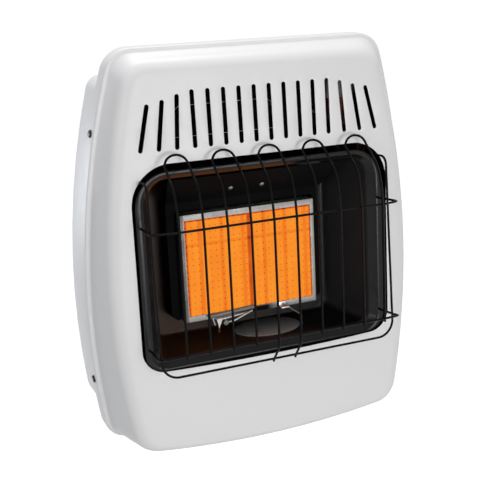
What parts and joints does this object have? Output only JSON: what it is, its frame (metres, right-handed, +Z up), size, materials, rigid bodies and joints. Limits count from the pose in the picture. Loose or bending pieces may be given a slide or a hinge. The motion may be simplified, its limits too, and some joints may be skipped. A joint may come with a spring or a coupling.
{
  "type": "wall mounted gas heater",
  "caption": "White wall heater with a barrel-sided front panel, heat slots, a black firebox with glowing ceramic plaques and a black wire guard.",
  "frame": {"origin": "middle of the wall bracket's back face, on the wall", "axes": "+X to the right of someone facing the heater, +Y into the wall, +Z up"},
  "size_m": [0.4498, 0.1781, 0.507],
  "materials": {
    "white_enamel": "smooth glossy white enamel on formed sheet steel",
    "black_enamel": "satin black heat resistant enamel",
    "guard_wire_black": "semi gloss black coating on round wire",
    "galvanised": "zinc coated sheet with a faint spangle",
    "plain_steel": "plain bright steel, slightly dulled",
    "dark_steel": "dull steel, darkened by heat",
    "plaque_steel": "aluminised sheet, dull light grey",
    "glowing_ceramic": "porous perforated ceramic, glowing orange",
    "fibre": "pressed ceramic fibre, off white",
    "brass": "turned brass",
    "cast_alloy": "die cast alloy, matt",
    "black_plastic": "moulded black plastic, fine grain",
    "red_plastic": "moulded red plastic",
    "copper": "drawn copper tube, lightly tarnished",
    "lead_rubber": "silicone lead insulation"
  },
  "bodies": {
    "heater": {"back_plate": "black_enamel", "burner_housing": "black_enamel", "burner_plenum": "galvanised", "cabinet_shell": "white_enamel", "deflector_hood": "black_enamel", "electrode_bracket": "plain_steel", "firebox_bezel": "black_enamel", "firebox_rail_left": "galvanised", "firebox_rail_right": "galvanised", "firebox_shell": "black_enamel", "floor_disc": "dark_steel", "front_panel": "white_enamel", "gas_valve": "cast_alloy", "guard_frame": "guard_wire_black", "guard_hairpin_1": "guard_wire_black", "guard_hairpin_2": "guard_wire_black", "guard_hairpin_3": "guard_wire_black", "guard_hairpin_4": "guard_wire_black", "guard_hairpin_5": "guard_wire_black", "guard_wire_lower": "guard_wire_black", "guard_wire_upper": "guard_wire_black", "hood_rivet_1": "plain_steel", "hood_rivet_2": "plain_steel", "igniter_body": "black_plastic", "igniter_lead": "lead_rubber", "igniter_nut": "plain_steel", "igniter_spring": "plain_steel", "injector": "brass", "injector_holder": "cast_alloy", "inlet_fitting": "brass", "knob_spring": "plain_steel", "manifold_tube": "copper", "mixing_duct": "galvanised", "pilot_bracket": "plain_steel", "pilot_burner": "dark_steel", "pilot_tube": "copper", "plaque_frame": "plaque_steel", "plaque_gasket": "fibre", "plaque_left": "glowing_ceramic", "plaque_right": "glowing_ceramic", "pressure_regulator": "cast_alloy", "rear_deflector": "black_enamel", "side_screw_left_1": "black_enamel", "side_screw_left_2": "black_enamel", "side_screw_right_1": "black_enamel", "side_screw_right_2": "black_enamel", "spark_electrode": "plain_steel", "supply_tube": "copper", "thermocouple": "plain_steel", "valve_nut": "plain_steel", "wall_bracket": "galvanised", "wall_screw_1": "plain_steel", "wall_screw_2": "plain_steel", "wall_screw_3": "plain_steel", "wall_screw_4": "plain_steel"},
    "press_cup": {"press_washer": "plain_steel"},
    "knob": {"control_knob": "black_plastic", "valve_stem": "brass"},
    "button": {"igniter_button": "red_plastic"}
  },
  "joints": [
    {"name": "knob_press", "type": "slide", "parent": "heater", "child": "press_cup", "axis": [0, 0, -1], "range_m": [0, 0.004], "stiffness_N_per_m": 1500, "springref_m": -0.002, "deforming": ["knob_spring"]},
    {"name": "knob_turn", "type": "hinge", "parent": "press_cup", "child": "knob", "pos_m": [0.14, -0.03, 0.2238], "axis": [0, 0, 1], "range_deg": [0, 180]},
    {"name": "button_press", "type": "slide", "parent": "heater", "child": "button", "axis": [0, 0, -1], "range_m": [0, 0.004], "stiffness_N_per_m": 2000, "springref_m": -0.001, "deforming": ["igniter_spring"]}
  ]
}
